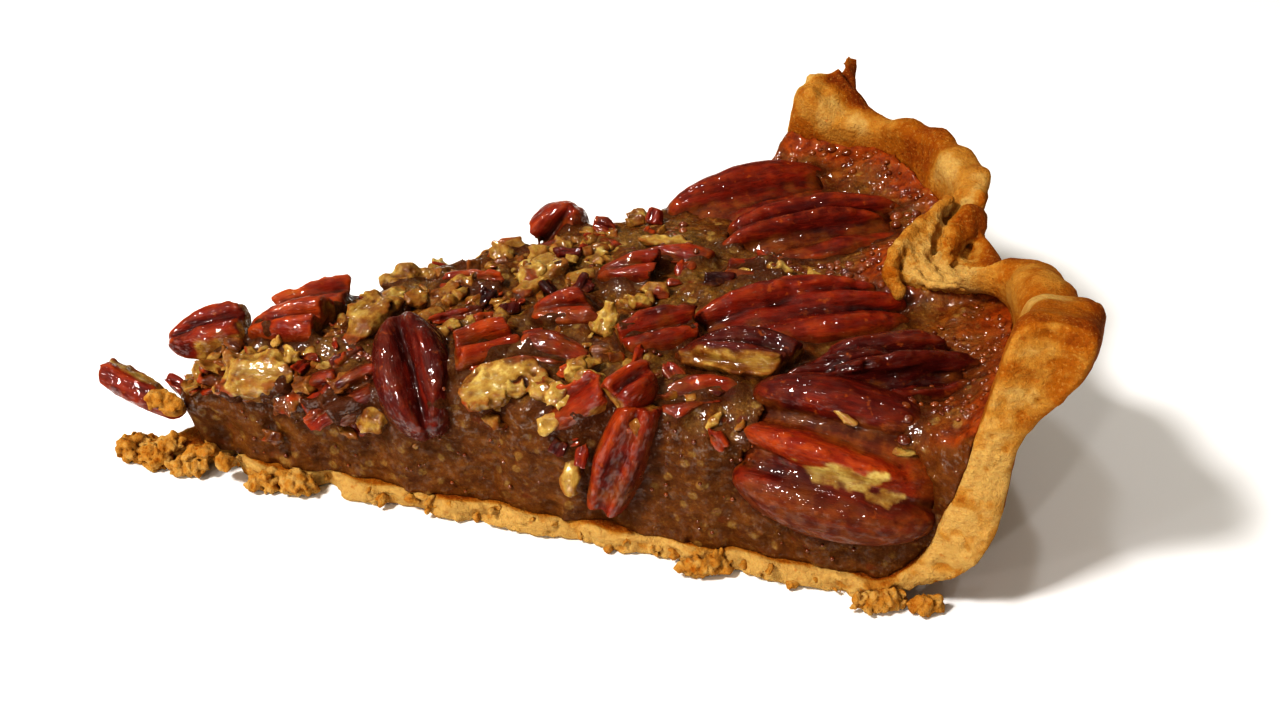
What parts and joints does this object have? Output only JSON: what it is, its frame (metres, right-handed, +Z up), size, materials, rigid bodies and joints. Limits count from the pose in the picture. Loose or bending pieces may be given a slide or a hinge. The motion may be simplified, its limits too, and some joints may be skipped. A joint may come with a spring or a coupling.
{
  "type": "pecan pie slice",
  "caption": "Wedge slice of deep-dish pecan pie: crimped golden pastry rim, caramel custard filling, pecan halves and chopped pecans on top.",
  "frame": {"origin": "middle of the slice's footprint box, on the surface it stands on", "axes": "+X from the slice's pointed tip to its crimped rim, +Z up"},
  "size_m": [0.1248, 0.0968, 0.0434],
  "materials": {
    "crust": "baked shortcrust pastry, golden with browned spots, dry and matte",
    "filling": "set caramel custard, translucent brown, glossy and bubbly",
    "pecan_skin": "glazed pecan skin, red-brown, glossy",
    "pecan_flesh": "broken pecan flesh, cream to tan, lightly glazed"
  },
  "bodies": {
    "root": {"crust": "crust", "filling": "filling", "pecan_half_1": "pecan_skin", "pecan_half_2": "pecan_skin", "pecan_half_3": "pecan_skin", "pecan_half_4": "pecan_skin", "pecan_half_5": "pecan_skin", "piece_01": "pecan_skin", "piece_02": "pecan_skin", "piece_03": "pecan_skin", "piece_04": "pecan_flesh", "piece_05": "pecan_skin", "piece_06": "pecan_flesh", "piece_07": "pecan_skin", "piece_08": "pecan_skin", "piece_09": "pecan_skin", "piece_10": "pecan_skin", "piece_11": "pecan_skin", "piece_12": "pecan_flesh", "piece_13": "pecan_skin", "piece_14": "pecan_flesh", "piece_15": "pecan_skin", "piece_16": "pecan_skin", "piece_17": "pecan_skin", "piece_18": "pecan_flesh", "piece_19": "pecan_skin", "piece_20": "pecan_skin", "piece_21": "pecan_skin", "piece_22": "pecan_skin", "piece_23": "pecan_skin", "piece_24": "pecan_skin", "piece_25": "pecan_skin", "piece_26": "pecan_skin", "piece_27": "pecan_flesh"}
  },
  "joints": []
}
